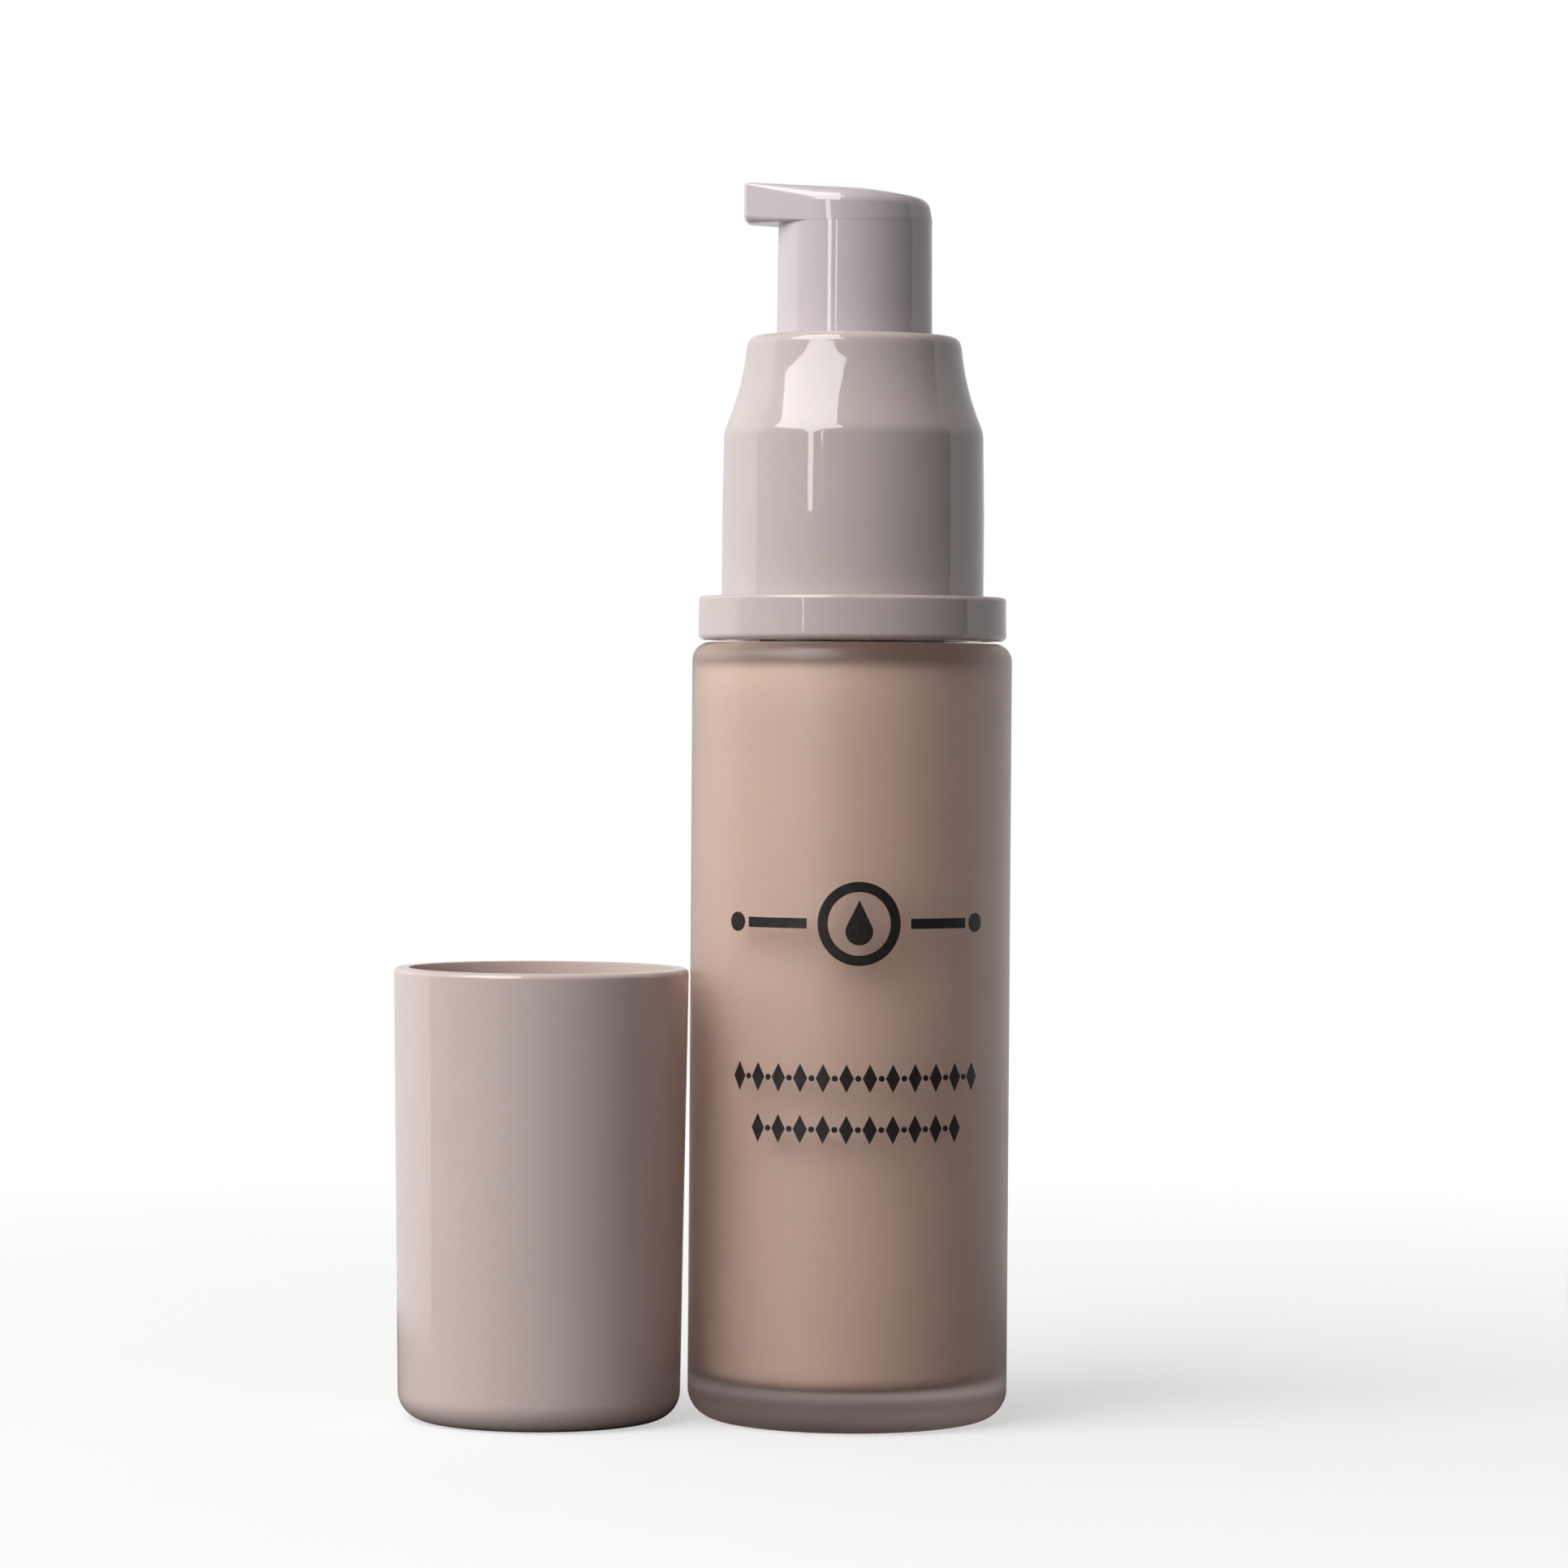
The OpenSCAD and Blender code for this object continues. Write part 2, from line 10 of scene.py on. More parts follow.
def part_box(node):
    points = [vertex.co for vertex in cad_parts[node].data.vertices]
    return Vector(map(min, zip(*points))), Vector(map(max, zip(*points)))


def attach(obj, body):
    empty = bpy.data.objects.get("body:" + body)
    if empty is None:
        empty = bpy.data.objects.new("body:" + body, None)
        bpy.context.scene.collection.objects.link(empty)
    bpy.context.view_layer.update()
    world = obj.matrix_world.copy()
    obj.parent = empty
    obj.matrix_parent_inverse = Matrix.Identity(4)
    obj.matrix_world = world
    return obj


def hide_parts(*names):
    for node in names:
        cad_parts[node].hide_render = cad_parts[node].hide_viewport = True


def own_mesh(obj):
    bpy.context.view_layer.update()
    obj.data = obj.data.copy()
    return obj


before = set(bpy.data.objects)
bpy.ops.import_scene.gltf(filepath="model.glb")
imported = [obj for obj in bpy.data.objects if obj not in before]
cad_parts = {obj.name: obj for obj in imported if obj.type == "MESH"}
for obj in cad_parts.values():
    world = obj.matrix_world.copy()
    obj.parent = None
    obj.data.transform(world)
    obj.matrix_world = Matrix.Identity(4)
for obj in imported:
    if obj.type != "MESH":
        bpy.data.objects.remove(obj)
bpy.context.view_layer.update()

MM = 0.001

# Steps of a full turn in the lathed liquid
SEGMENTS = 160

# The liquid wets the glass, so it reaches this far past its CAD solid
WETTING = 0.07 * MM
# Liquid clings to the glass above the CAD solid's level, up to the top of the cavity
HEADSPACE = 0.5 * MM
# Roundings at the foot and the top of the glass's cavity
CAVITY_FOOT_ROUND = 1.6 * MM
CAVITY_TOP_ROUND = 2.0 * MM

# Pump housing: outer radius of its foot and of its chamber, and the chamber's height over its foot
HOUSING_FOOT_R = 3.1 * MM
CHAMBER_R = 5.5 * MM
CHAMBER_RISE = 10.0 * MM
# Space left between the liquid and the pump, so that their surfaces stay apart
PUMP_GAP = 0.3 * MM

# The glass's solid base is more coarsely etched and gets painted shade, a darker tint for the dim light
# there; both fade out between these heights
BASE_GLASS_LOW = 2.7 * MM
BASE_GLASS_HIGH = 3.7 * MM

# Printed film: how far it stands proud of the glass and reaches into it, and its turn to the right
INK_PROUD = 0.03 * MM
INK_SUNK = 0.03 * MM
LABEL_TURN = math.radians(2.5)
# Half the width of label that is bent round the glass, and the width of one flat facet
LABEL_REACH = 16 * MM
LABEL_FACET = 0.8 * MM
# Heights of the printed marks and the distance between neighbours in the two rows
EMBLEM_Z = 50.1 * MM
UPPER_ROW_Z = 35.0 * MM
LOWER_ROW_Z = 30.0 * MM
ROW_PITCH = 2.3 * MM

# Colour of every lamp
LAMP_COLOUR = (1.0, 0.985, 0.975)
# The photograph's camera: sensor and lens in millimetres, tilt down, roll and place
SENSOR_WIDTH = 36.0
LENS = 129.0
CAMERA_TILT = math.radians(0.872)
CAMERA_ROLL = math.radians(0.4)
CAMERA_PLACE = (-6.74 * MM, -562.8 * MM, 72.0 * MM)


# ---------------------------------------------------------------- node helpers


def new_material(name):
    """An empty node material and its Principled shader."""
    made = bpy.data.materials.new(name)
    made.use_nodes = True
    tree = made.node_tree
    return made, tree, tree.nodes["Principled BSDF"]


def add(tree, kind, inputs=None, **settings):
    """A node with its settings and its inputs, which are values or other nodes' sockets."""
    node = tree.nodes.new(kind)
    for key, value in settings.items():
        setattr(node, key, value)
    for key, value in (inputs or {}).items():
        if isinstance(value, bpy.types.NodeSocket):
            tree.links.new(value, node.inputs[key])
        else:
            node.inputs[key].default_value = value
    return node


def noise(tree, size, detail, stretch=(1.0, 1.0, 1.0), offset=0.0):
    """Noise with features of about that size in metres, from 0 to 1."""
    coords = add(tree, "ShaderNodeTexCoord")
    placed = add(
        tree,
        "ShaderNodeMapping",
        {
            "Vector": coords.outputs["Object"],
            "Location": (offset, offset, offset),
            "Scale": stretch,
        },
    )
    texture = add(
        tree,
        "ShaderNodeTexNoise",
        {"Vector": placed.outputs["Vector"], "Scale": 1.0 / size, "Detail": detail},
    )
    return texture.outputs["Fac"]


def spread(tree, value, low, high, start=0.3, end=0.7):
    """Maps start..end of a value to low..high."""
    node = add(
        tree,
        "ShaderNodeMapRange",
        {
            "Value": value,
            "From Min": start,
            "From Max": end,
            "To Min": low,
            "To Max": high,
        },
    )
    return node.outputs["Result"]


def mixed(tree, share, first, second):
    """A colour between two colours, of which each is three numbers or another node's socket."""
    node = tree.nodes.new("ShaderNodeMix")
    node.data_type = "RGBA"
    tree.links.new(share, node.inputs[0])
    for socket, value in ((node.inputs[6], first), (node.inputs[7], second)):
        if isinstance(value, bpy.types.NodeSocket):
            tree.links.new(value, socket)
        else:
            socket.default_value = (*value, 1.0)
    return node.outputs[2]


def blended(tree, share, first, second):
    """A shader between two shaders."""
    node = add(tree, "ShaderNodeMixShader", {0: share, 1: first, 2: second})
    return node.outputs["Shader"]


def bumped(tree, height, distance, strength=1.0, normal=None):
    """A normal roughened by a height."""
    inputs = {"Height": height, "Distance": distance, "Strength": strength}
    if normal is not None:
        inputs["Normal"] = normal
    return add(tree, "ShaderNodeBump", inputs).outputs["Normal"]


# ------------------------------------------------------------------- materials


def glossy_plastic(name, light, dark, scatter):
    """Polished injection-moulded plastic: faint flow marks, orange peel and hairlines along the draw."""
    made, tree, shader = new_material(name)
    flow = noise(tree, 9 * MM, 4.0, (1.0, 1.0, 0.5))
    fleck = noise(tree, 0.22 * MM, 2.0)
    base = mixed(tree, spread(tree, flow, 0.0, 1.0), light, dark)
    flecked = mixed(tree, spread(tree, fleck, 0.0, 0.35, 0.35, 0.75), base, dark)
    hairline = noise(tree, 0.35 * MM, 3.0, (1.0, 1.0, 0.03))
    peel = noise(tree, 1.6 * MM, 2.0, (1.0, 1.0, 0.6))
    ripple = bumped(tree, peel, 0.004 * MM)
    tree.links.new(flecked, shader.inputs["Base Color"])
    tree.links.new(spread(tree, hairline, 0.035, 0.065), shader.inputs["Roughness"])
    tree.links.new(bumped(tree, hairline, 0.0006 * MM, 1.0, ripple), shader.inputs["Normal"])
    shader.inputs["IOR"].default_value = 1.57
    shader.inputs["Subsurface Weight"].default_value = 0.35
    shader.inputs["Subsurface Radius"].default_value = scatter
    shader.inputs["Subsurface Scale"].default_value = 1.2 * MM
    return made


def satin_glass():
    """Acid-etched clear glass: a fine grain scatters what is seen through it, most in the solid base, which
    also carries painted shade.
    """
    made, tree, shader = new_material("satin_glass_look")
    grain = noise(tree, 0.12 * MM, 3.0)
    cloud = noise(tree, 7 * MM, 3.0)
    tint = mixed(tree, spread(tree, cloud, 0.0, 1.0), (0.98, 0.97, 0.965), (0.96, 0.95, 0.945))
    coords = add(tree, "ShaderNodeTexCoord")
    parts = add(tree, "ShaderNodeSeparateXYZ", {"Vector": coords.outputs["Object"]})
    base_shade_and_etch = spread(tree, parts.outputs["Z"], 1.0, 0.0, BASE_GLASS_LOW, BASE_GLASS_HIGH)
    # Painted shade: in the solid base the glass colour darkens to this tint
    tree.links.new(mixed(tree, base_shade_and_etch, tint, (0.68, 0.53, 0.50)), shader.inputs["Base Color"])
    etched = spread(tree, cloud, 0.34, 0.40)
    coarser = spread(tree, base_shade_and_etch, 0.0, 0.25, 0.0, 1.0)
    rough = add(tree, "ShaderNodeMath", {0: etched, 1: coarser}, operation="ADD")
    tree.links.new(rough.outputs["Value"], shader.inputs["Roughness"])
    tree.links.new(bumped(tree, grain, 0.01 * MM, 0.5), shader.inputs["Normal"])
    shader.inputs["IOR"].default_value = 1.5
    shader.inputs["Transmission Weight"].default_value = 1.0
    depth = add(tree, "ShaderNodeVolumeAbsorption", {"Color": (0.4, 0.25, 0.2, 1.0), "Density": 8.0})
    tree.links.new(depth.outputs["Volume"], tree.nodes["Material Output"].inputs["Volume"])
    return made


def foundation_cream():
    """Opaque skin-toned emulsion with slow swirls of pigment."""
    made, tree, shader = new_material("foundation_look")
    swirl = noise(tree, 14 * MM, 4.0, (1.0, 1.0, 0.45))
    fine = noise(tree, 1.1 * MM, 3.0, offset=3.0)
    base = mixed(tree, spread(tree, swirl, 0.0, 1.0), (0.88, 0.66, 0.545), (0.86, 0.64, 0.525))
    tree.links.new(
        mixed(tree, spread(tree, fine, 0.0, 0.3), base, (0.82, 0.58, 0.47)),
        shader.inputs["Base Color"],
    )
    tree.links.new(spread(tree, fine, 0.35, 0.5), shader.inputs["Roughness"])
    tree.links.new(bumped(tree, swirl, 0.05 * MM), shader.inputs["Normal"])
    return made


def moulded_plastic(name, light, dark, rough, clear=0.0):
    """Plain working plastic with a mould texture, for the pump's own pieces."""
    made, tree, shader = new_material(name)
    flow = noise(tree, 5 * MM, 4.0)
    grain = noise(tree, 0.15 * MM, 3.0)
    tree.links.new(mixed(tree, spread(tree, flow, 0.0, 1.0), light, dark), shader.inputs["Base Color"])
    tree.links.new(spread(tree, grain, rough - 0.06, rough + 0.08), shader.inputs["Roughness"])
    tree.links.new(bumped(tree, grain, 0.008 * MM), shader.inputs["Normal"])
    shader.inputs["Transmission Weight"].default_value = clear
    return made


def spring_steel():
    """Drawn stainless steel with fine lines and slight tarnish."""
    made, tree, shader = new_material("steel_look")
    drawn = noise(tree, 0.06 * MM, 3.0)
    tarnish = noise(tree, 2 * MM, 4.0)
    tree.links.new(
        mixed(tree, spread(tree, tarnish, 0.0, 1.0), (0.66, 0.67, 0.69), (0.50, 0.49, 0.48)),
        shader.inputs["Base Color"],
    )
    tree.links.new(spread(tree, drawn, 0.18, 0.34), shader.inputs["Roughness"])
    tree.links.new(bumped(tree, drawn, 0.003 * MM), shader.inputs["Normal"])
    shader.inputs["Metallic"].default_value = 1.0
    return made


def gasket_rubber():
    """Dull sealing rubber with a powdery bloom."""
    made, tree, shader = new_material("gasket_look")
    bloom = noise(tree, 0.8 * MM, 5.0)
    tree.links.new(
        mixed(tree, spread(tree, bloom, 0.0, 1.0), (0.035, 0.035, 0.037), (0.075, 0.073, 0.072)),
        shader.inputs["Base Color"],
    )
    tree.links.new(spread(tree, bloom, 0.6, 0.8), shader.inputs["Roughness"])
    tree.links.new(bumped(tree, bloom, 0.02 * MM), shader.inputs["Normal"])
    return made


def printed_ink():
    """Screen-printed black ink: slightly uneven film with a low sheen."""
    made, tree, shader = new_material("ink_look")
    film = noise(tree, 0.5 * MM, 4.0)
    tree.links.new(
        mixed(tree, spread(tree, film, 0.0, 1.0), (0.009, 0.007, 0.007), (0.016, 0.012, 0.012)),
        shader.inputs["Base Color"],
    )
    tree.links.new(spread(tree, film, 0.32, 0.48), shader.inputs["Roughness"])
    tree.links.new(bumped(tree, film, 0.004 * MM), shader.inputs["Normal"])
    return made


def studio_floor():
    """Matt pale floor that fades out away from the object. Reflections and light see a small dim disc."""
    made, tree, shader = new_material("floor_look")
    mottle = noise(tree, 60 * MM, 3.0)
    tree.links.new(
        mixed(tree, spread(tree, mottle, 0.0, 1.0), (0.82, 0.82, 0.82), (0.80, 0.80, 0.80)),
        shader.inputs["Base Color"],
    )
    shader.inputs["Roughness"].default_value = 0.7
    coords = add(tree, "ShaderNodeTexCoord")
    away = add(tree, "ShaderNodeVectorMath", {0: coords.outputs["Object"]}, operation="LENGTH")
    fade = spread(tree, away.outputs["Value"], 0.55, 1.0, 0.05, 0.28)
    clear = add(tree, "ShaderNodeBsdfTransparent").outputs["BSDF"]
    pale = blended(tree, fade, shader.outputs["BSDF"], clear)
    dim = add(tree, "ShaderNodeBsdfDiffuse", {"Color": (0.19, 0.17, 0.165, 1.0)})
    edge = spread(tree, away.outputs["Value"], 0.0, 1.0, 0.09, 0.13)
    disc = blended(tree, edge, dim.outputs["BSDF"], clear)
    seen = add(tree, "ShaderNodeLightPath")
    both = blended(tree, seen.outputs["Is Camera Ray"], disc, pale)
    tree.links.new(both, tree.nodes["Material Output"].inputs["Surface"])
    return made


# -------------------------------------------------------------------- geometry


def link(name, mesh, look, smooth=True):
    """An object in the scene for this mesh."""
    made = bpy.data.objects.new(name, mesh)
    bpy.context.scene.collection.objects.link(made)
    mesh.materials.append(look)
    for face in mesh.polygons:
        face.use_smooth = smooth
    return made


def closed_piece(name, verts, faces, look, sharp):
    """A closed body with its faces turned outwards and edges sharp from that angle in degrees."""
    mesh = bpy.data.meshes.new(name)
    mesh.from_pydata(verts, [], faces)
    bm = bmesh.new()
    bm.from_mesh(mesh)
    bmesh.ops.recalc_face_normals(bm, faces=bm.faces)
    bm.to_mesh(mesh)
    bm.free()
    made = link(name, mesh, look)
    mesh.set_sharp_from_angle(angle=math.radians(sharp))
    return made


def lathe(name, profile, look):
    """Turns a closed profile of (radius, height) points round the Z axis."""
    count = len(profile)
    verts = []
    for step in range(SEGMENTS):
        angle = 2 * math.pi * step / SEGMENTS
        verts += [(r * math.cos(angle), r * math.sin(angle), z) for r, z in profile]
    faces = []
    for step in range(SEGMENTS):
        here, there = step * count, (step + 1) % SEGMENTS * count
        for k in range(count):
            nxt = (k + 1) % count
            faces.append((here + k, there + k, there + nxt, here + nxt))
    return closed_piece(name, verts, faces, look, 40)


def corner(centre_r, centre_z, radius, start, end):
    """Points of an arc in the profile plane, from one angle to the other in degrees."""
    steps = 10
    points = []
    for k in range(steps + 1):
        angle = math.radians(start + (end - start) * k / steps)
        points.append((centre_r + radius * math.cos(angle), centre_z + radius * math.sin(angle)))
    return points


def cream_body(look):
    """The liquid, wetting the glass all round and clinging to the top of its cavity."""
    low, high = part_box("foundation_fill")
    wall = high.x + WETTING
    floor_z = low.z - WETTING
    top_z = high.z + HEADSPACE + WETTING
    foot, head = CAVITY_FOOT_ROUND, CAVITY_TOP_ROUND
    # The axis itself would fold the lathed faces to nothing
    axis = 0.0001 * MM
    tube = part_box("dip_tube")[1].x + PUMP_GAP
    housing = HOUSING_FOOT_R + PUMP_GAP
    housing_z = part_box("pump_housing")[0].z - PUMP_GAP
    chamber = CHAMBER_R + PUMP_GAP
    chamber_z = housing_z + CHAMBER_RISE
    tube_z = floor_z + 0.5 * MM
    profile = [(axis, tube_z), (axis, floor_z), (wall - foot, floor_z)]
    profile += corner(wall - foot, floor_z + foot, foot, -80, 0)
    profile += corner(wall - head, top_z - head, head, 0, 89)
    profile += [(chamber + 0.6 * MM, top_z - 0.1 * MM), (chamber, top_z - 0.3 * MM)]
    profile += [(chamber, chamber_z), (housing, chamber_z), (housing, housing_z)]
    profile += [(tube, housing_z), (tube, tube_z)]
    made = lathe("foundation_cream", profile, look)
    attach(made, "root")
    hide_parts("foundation_fill")
    return made


def coil_spring(look):
    """Round-wire compression spring with closed ends."""
    low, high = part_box("return_spring")
    wire = 0.3 * MM
    mean = high.x - wire
    # Turns in all, turns lying close at each end, and the rise of a close turn
    coils, dead, closed = 7, 0.9, 0.62 * MM
    # Rings of points in a turn, and points round the wire
    steps, sides = 40, 12
    rise = high.z - low.z - 2 * wire
    pitch = (rise - 2 * dead * closed) / (coils - 2 * dead)
    verts = []
    for i in range(coils * steps + 1):
        turn = i / steps
        if turn < dead:
            z = turn * closed
        elif turn > coils - dead:
            z = rise - (coils - turn) * closed
        else:
            z = dead * closed + (turn - dead) * pitch
        angle = 2 * math.pi * turn
        for k in range(sides):
            round_wire = 2 * math.pi * k / sides
            r = mean + wire * math.cos(round_wire)
            height = low.z + wire + z + wire * math.sin(round_wire)
            verts.append((r * math.cos(angle), r * math.sin(angle), height))
    faces = []
    for i in range(coils * steps):
        for k in range(sides):
            a, b = sides * i + k, sides * i + (k + 1) % sides
            faces.append((b, b + sides, a + sides, a))
    faces.append(tuple(reversed(range(sides))))
    faces.append(tuple(range(sides * coils * steps, sides * (coils * steps + 1))))
    made = closed_piece("coil_spring", verts, faces, look, 60)
    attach(made, "pump")
    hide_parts("return_spring")
    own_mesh(made)
    return made


def disc_outline(u, z, radius, count):
    """Points round a circle on the label."""
    return [
        (u + radius * math.cos(2 * math.pi * k / count), z + radius * math.sin(2 * math.pi * k / count))
        for k in range(count)
    ]


def drop_outline(u, z, radius, height):
    """Points round a drop: a circle below and straight flanks up to a point."""
    count = 40
    lift = math.asin(radius / (height - radius))
    points = [(u, z + height - radius)]
    for k in range(count + 1):
        angle = math.pi - lift + (math.pi + 2 * lift) * k / count
        points.append((u + radius * math.cos(angle), z + radius * math.sin(angle)))
    return points


def bar_outline(u, z, width, height):
    """A plain upright bar."""
    return [
        (u - width / 2, z - height / 2),
        (u + width / 2, z - height / 2),
        (u + width / 2, z + height / 2),
        (u - width / 2, z + height / 2),
    ]


def ink_piece(name, outlines, rings, look):
    """Thin printed film wrapped on the glass. Rings are pairs of outlines of equal length."""
    glass_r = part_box("bottle")[1].x
    bm = bmesh.new()
    for outline in outlines:
        bm.faces.new([bm.verts.new((u, 0.0, z)) for u, z in outline])
    for outer, inner in rings:
        out = [bm.verts.new((u, 0.0, z)) for u, z in outer]
        inn = [bm.verts.new((u, 0.0, z)) for u, z in inner]
        for k in range(len(out)):
            nxt = (k + 1) % len(out)
            bm.faces.new((out[k], out[nxt], inn[nxt], inn[k]))
    cuts = int(LABEL_REACH / LABEL_FACET)
    for k in range(-cuts, cuts + 1):
        geom = bm.verts[:] + bm.edges[:] + bm.faces[:]
        bmesh.ops.bisect_plane(bm, geom=geom, plane_co=(k * LABEL_FACET, 0, 0), plane_no=(1, 0, 0))
    # Until the film is bent, Y is 1 on its outer face and 0 on its inner face
    grown = bmesh.ops.extrude_face_region(bm, geom=bm.faces[:])
    for item in grown["geom"]:
        if isinstance(item, bmesh.types.BMVert):
            item.co.y = 1.0
    for vert in bm.verts:
        angle = vert.co.x / glass_r + LABEL_TURN
        r = glass_r + (INK_PROUD if vert.co.y > 0.5 else -INK_SUNK)
        vert.co.x, vert.co.y = r * math.sin(angle), -r * math.cos(angle)
    bmesh.ops.recalc_face_normals(bm, faces=bm.faces)
    mesh = bpy.data.meshes.new(name)
    bm.to_mesh(mesh)
    bm.free()
    made = link(name, mesh, look, smooth=False)
    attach(made, "root")
    return made


def emblem(look):
    """Generic mark: a drop in a ring, with a rule and a bead on each side."""
    z = EMBLEM_Z
    line = 1.0 * MM
    radius = 4.1 * MM
    bead = 0.95 * MM
    rule = 6.4 * MM
    rule_u = radius + 1.1 * MM + rule / 2
    bead_u = rule_u + rule / 2 + 0.5 * MM + bead
    ring = (disc_outline(0, z, radius, 72), disc_outline(0, z, radius - line, 72))
    shapes = [drop_outline(0, z - 0.75 * MM, 1.35 * MM, 4.4 * MM)]
    for side in (-1, 1):
        shapes.append(bar_outline(side * rule_u, z, rule, line))
        shapes.append(disc_outline(side * bead_u, z, bead, 32))
    return ink_piece("print_emblem", shapes, [ring], look)


def ornament_row(name, z, count, look):
    """A centred row of lozenges with a dot between each two."""
    half_w, half_h = 0.72 * MM, 1.4 * MM
    dot = 0.3 * MM
    shapes = []
    for k in range(count):
        u = (k - (count - 1) / 2) * ROW_PITCH
        shapes.append([(u - half_w, z), (u, z - half_h), (u + half_w, z), (u, z + half_h)])
        if k < count - 1:
            shapes.append(disc_outline(u + ROW_PITCH / 2, z, dot, 16))
    return ink_piece(name, shapes, [], look)


# ----------------------------------------------------------------------- stage


def direction(azimuth, elevation):
    """Unit vector from the object: azimuth to the left of the camera's axis."""
    a, e = math.radians(azimuth), math.radians(elevation)
    return (-math.sin(a) * math.cos(e), -math.cos(a) * math.cos(e), math.sin(e))


def softbox(name, outline, centre, distance, radiance):
    """A glowing panel whose centre and corners are given as (azimuth, elevation) seen from the pump."""
    pump = Vector((0, 0, 90 * MM))
    verts = [distance * Vector(direction(*corner_at)) + pump for corner_at in [centre] + outline]
    count = len(outline)
    faces = [(0, 1 + k, 1 + (k + 1) % count) for k in range(count)]
    mesh = bpy.data.meshes.new(name)
    mesh.from_pydata(verts, [], faces)
    look = bpy.data.materials.new(name + "_look")
    look.use_nodes = True
    tree = look.node_tree
    tree.nodes.remove(tree.nodes["Principled BSDF"])
    glow = add(tree, "ShaderNodeEmission", {"Color": (*LAMP_COLOUR, 1.0), "Strength": radiance})
    tree.links.new(glow.outputs["Emission"], tree.nodes["Material Output"].inputs["Surface"])
    made = link(name, mesh, look, smooth=False)
    made.visible_camera = False
    return made


def key_light():
    """A broad softbox, high on the left, drawn down to a thin point, with a slim strip beside it."""
    distance, radiance = 1.2, 6.0
    panel = [
        (37, 2), (37.5, 2), (41, 4), (43, 10), (47, 15), (79, 22), (80, 36), (76, 48), (90, 56),
        (70, 70), (38, 72), (25, 60), (19, 46), (17, 36), (9, 22), (30, 15), (36, 10), (36.5, 4),
    ]
    softbox("key_softbox", panel, (44, 36), distance, radiance)
    strip = [(27.5, 4.6), (29.5, 4.6), (29.5, 12), (27.5, 12)]
    softbox("key_edge", strip, (28.5, 8), distance, radiance)


def side_light():
    """A broad, weak lamp far round on the left that lifts the shaded edge of every piece."""
    data = bpy.data.lights.new("side_lamp", "AREA")
    data.shape = "DISK"
    data.size = 0.6
    data.energy = 1.8
    data.color = LAMP_COLOUR
    made = bpy.data.objects.new("side_lamp", data)
    bpy.context.scene.collection.objects.link(made)
    towards = Vector(direction(105, 22))
    distance = 0.9
    made.location = towards * distance + Vector((0, 0, 60 * MM))
    made.rotation_euler = towards.to_track_quat("Z", "Y").to_euler()
    made.visible_glossy = False


def surroundings():
    """Backdrop behind the object, brighter on one side, and a dim room elsewhere. The camera sees white."""
    dim = (0.09, 0.085, 0.09)
    world = bpy.data.worlds.new("studio")
    bpy.context.scene.world = world
    world.use_nodes = True
    tree = world.node_tree
    coords = add(tree, "ShaderNodeTexCoord")
    parts = add(tree, "ShaderNodeSeparateXYZ", {"Vector": coords.outputs["Generated"]})
    behind = spread(tree, parts.outputs["Y"], 0.0, 1.0, 0.08, 0.09)
    across = spread(tree, parts.outputs["X"], 0.0, 1.0, -0.95, 0.1)
    backdrop = mixed(tree, across, (1.06, 1.05, 1.05), (0.64, 0.64, 0.65))
    above = spread(tree, parts.outputs["Z"], 0.0, 1.0, 0.35, 0.6)
    wall = mixed(tree, above, backdrop, dim)
    room = mixed(tree, behind, dim, wall)
    seen = add(tree, "ShaderNodeLightPath")
    shown = mixed(tree, seen.outputs["Is Camera Ray"], room, (1.0, 1.0, 1.0))
    tree.links.new(shown, tree.nodes["Background"].inputs["Color"])
    tree.nodes["Background"].inputs["Strength"].default_value = 1.0


def floor():
    """A wide matt floor under the bottle and the overcap."""
    bpy.ops.mesh.primitive_circle_add(vertices=96, radius=0.6, fill_type="NGON")
    made = bpy.context.object
    made.name = "studio_floor"
    made.data.materials.append(studio_floor())


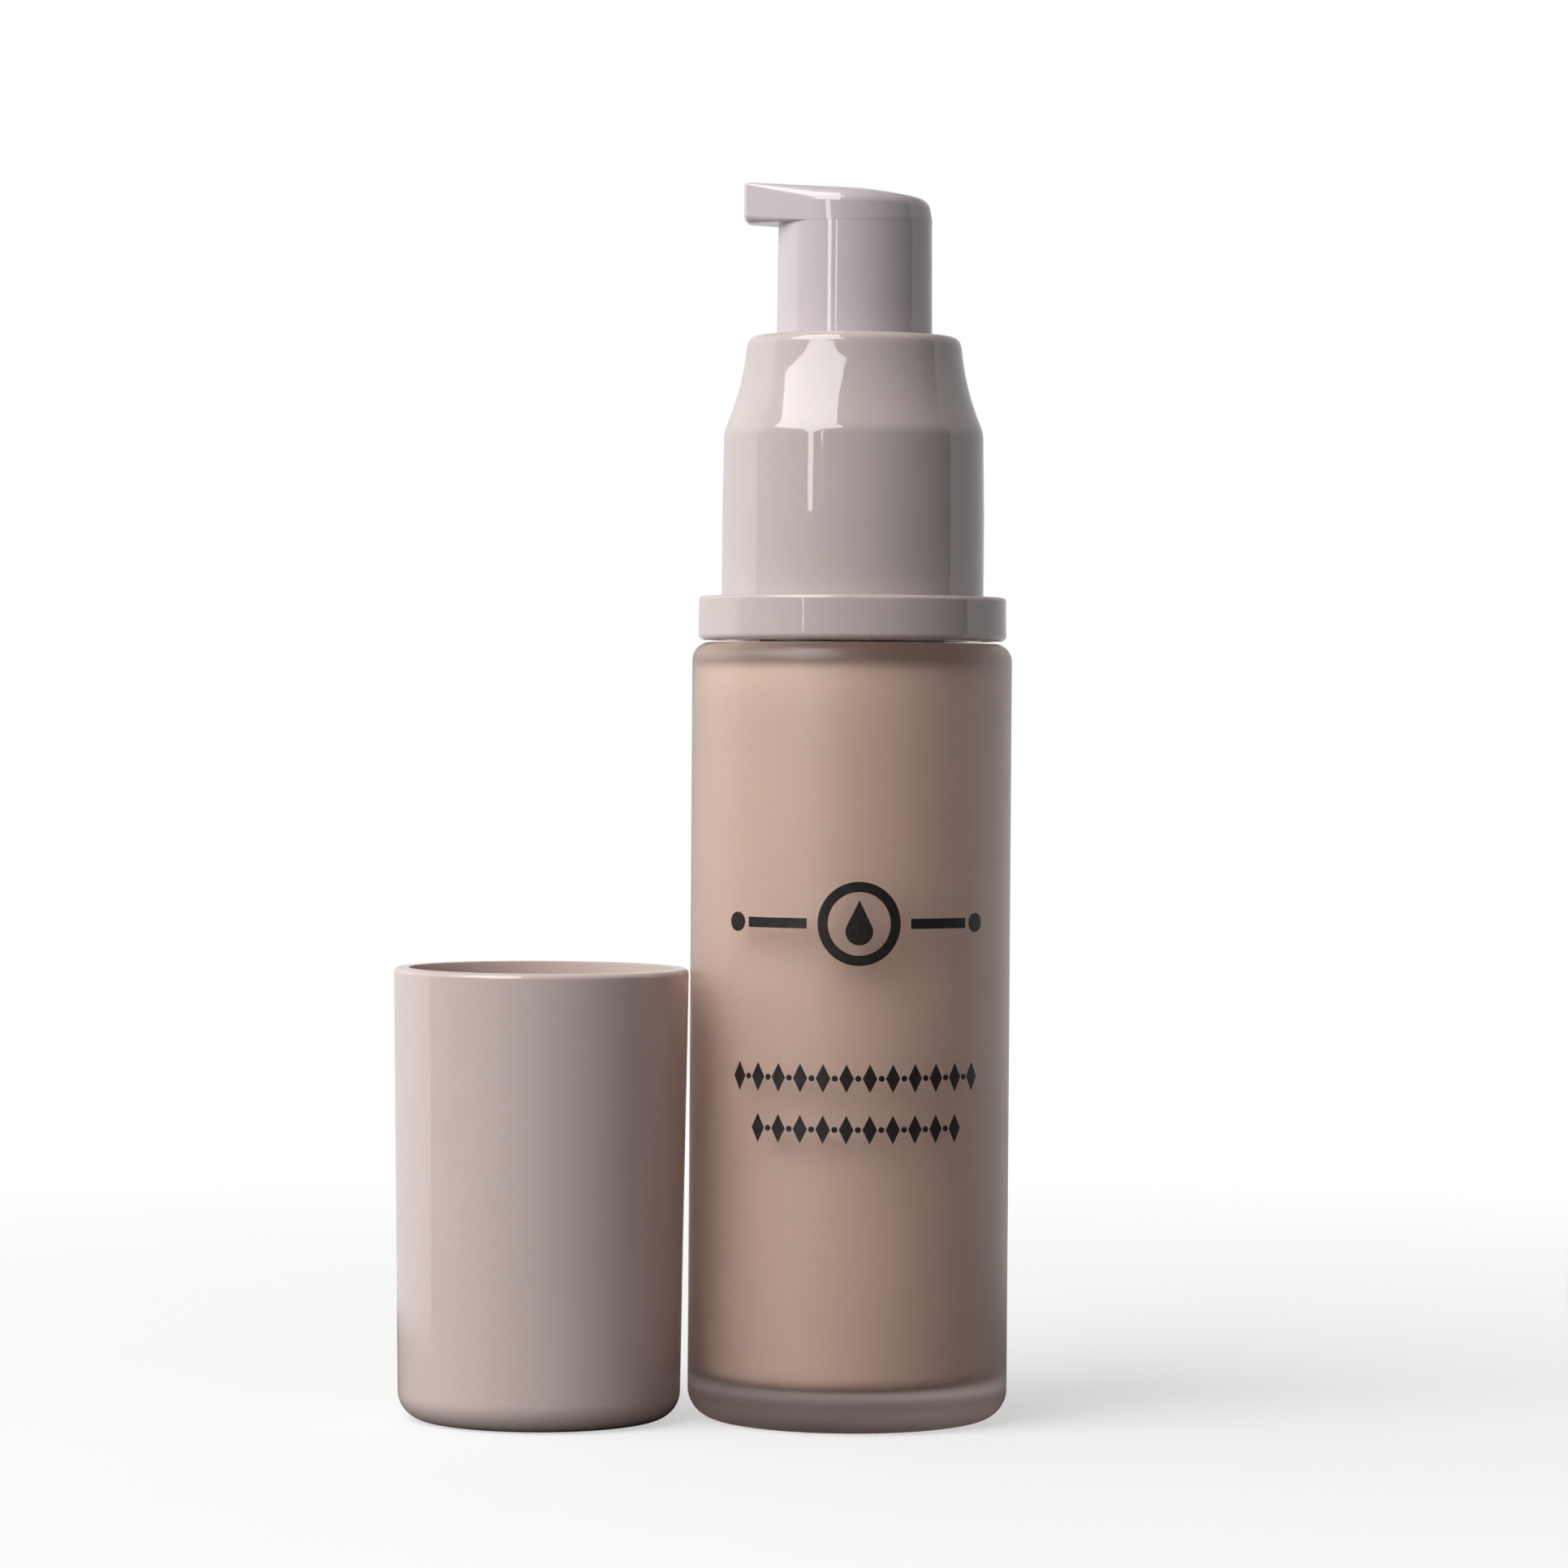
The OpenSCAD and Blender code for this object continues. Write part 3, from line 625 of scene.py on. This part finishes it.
def camera():
    """The photograph's view."""
    data = bpy.data.cameras.new("camera")
    data.sensor_width = SENSOR_WIDTH
    data.lens = LENS
    made = bpy.data.objects.new("camera", data)
    bpy.context.scene.collection.objects.link(made)
    pitch = Matrix.Rotation(math.pi / 2 - CAMERA_TILT, 4, "X")
    roll = Matrix.Rotation(CAMERA_ROLL, 4, "Z")
    place = Matrix.Translation(CAMERA_PLACE)
    made.matrix_world = place @ pitch @ roll
    bpy.context.scene.camera = made


# ------------------------------------------------------------------------ scene


def give(look, *nodes):
    """Puts a material on CAD nodes."""
    for name in nodes:
        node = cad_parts[name]
        for slot in node.material_slots:
            slot.material = look


def outer_pieces():
    """Looks of the pieces that are seen from outside."""
    cool_scatter = (1.0, 0.75, 0.8)
    warm_scatter = (1.0, 0.65, 0.55)
    head = glossy_plastic("head_look", (0.53, 0.48, 0.505), (0.51, 0.46, 0.485), cool_scatter)
    give(head, "actuator_shell")
    collar = glossy_plastic("collar_look", (0.50, 0.44, 0.43), (0.48, 0.42, 0.41), warm_scatter)
    give(collar, "collar_shell")
    cap = glossy_plastic("cap_look", (0.545, 0.465, 0.435), (0.525, 0.445, 0.415), warm_scatter)
    give(cap, "overcap")
    give(satin_glass(), "bottle")
    cream_body(foundation_cream())


def inner_pieces():
    """Looks of the pump's own pieces, which the collar and the liquid hide."""
    working = moulded_plastic("inner_look", (0.80, 0.80, 0.78), (0.74, 0.74, 0.72), 0.38)
    give(working, "actuator_core", "pump_stem", "stem_plug", "chaplet", "pump_housing", "screw_closure")
    seal = moulded_plastic("seal_look", (0.78, 0.76, 0.68), (0.72, 0.70, 0.62), 0.45)
    give(seal, "piston")
    tube = moulded_plastic("tube_look", (0.85, 0.85, 0.84), (0.80, 0.80, 0.79), 0.3, 0.5)
    give(tube, "dip_tube")
    give(gasket_rubber(), "neck_gasket")
    steel = spring_steel()
    give(steel, "inlet_ball")
    coil_spring(steel)


def printed_marks():
    """The ornament on the front of the glass."""
    ink = printed_ink()
    emblem(ink)
    ornament_row("print_row_upper", UPPER_ROW_Z, 12, ink)
    ornament_row("print_row_lower", LOWER_ROW_Z, 10, ink)


def main():
    bpy.context.scene.view_settings.view_transform = "Standard"
    outer_pieces()
    inner_pieces()
    printed_marks()
    surroundings()
    key_light()
    side_light()
    floor()
    camera()


main()
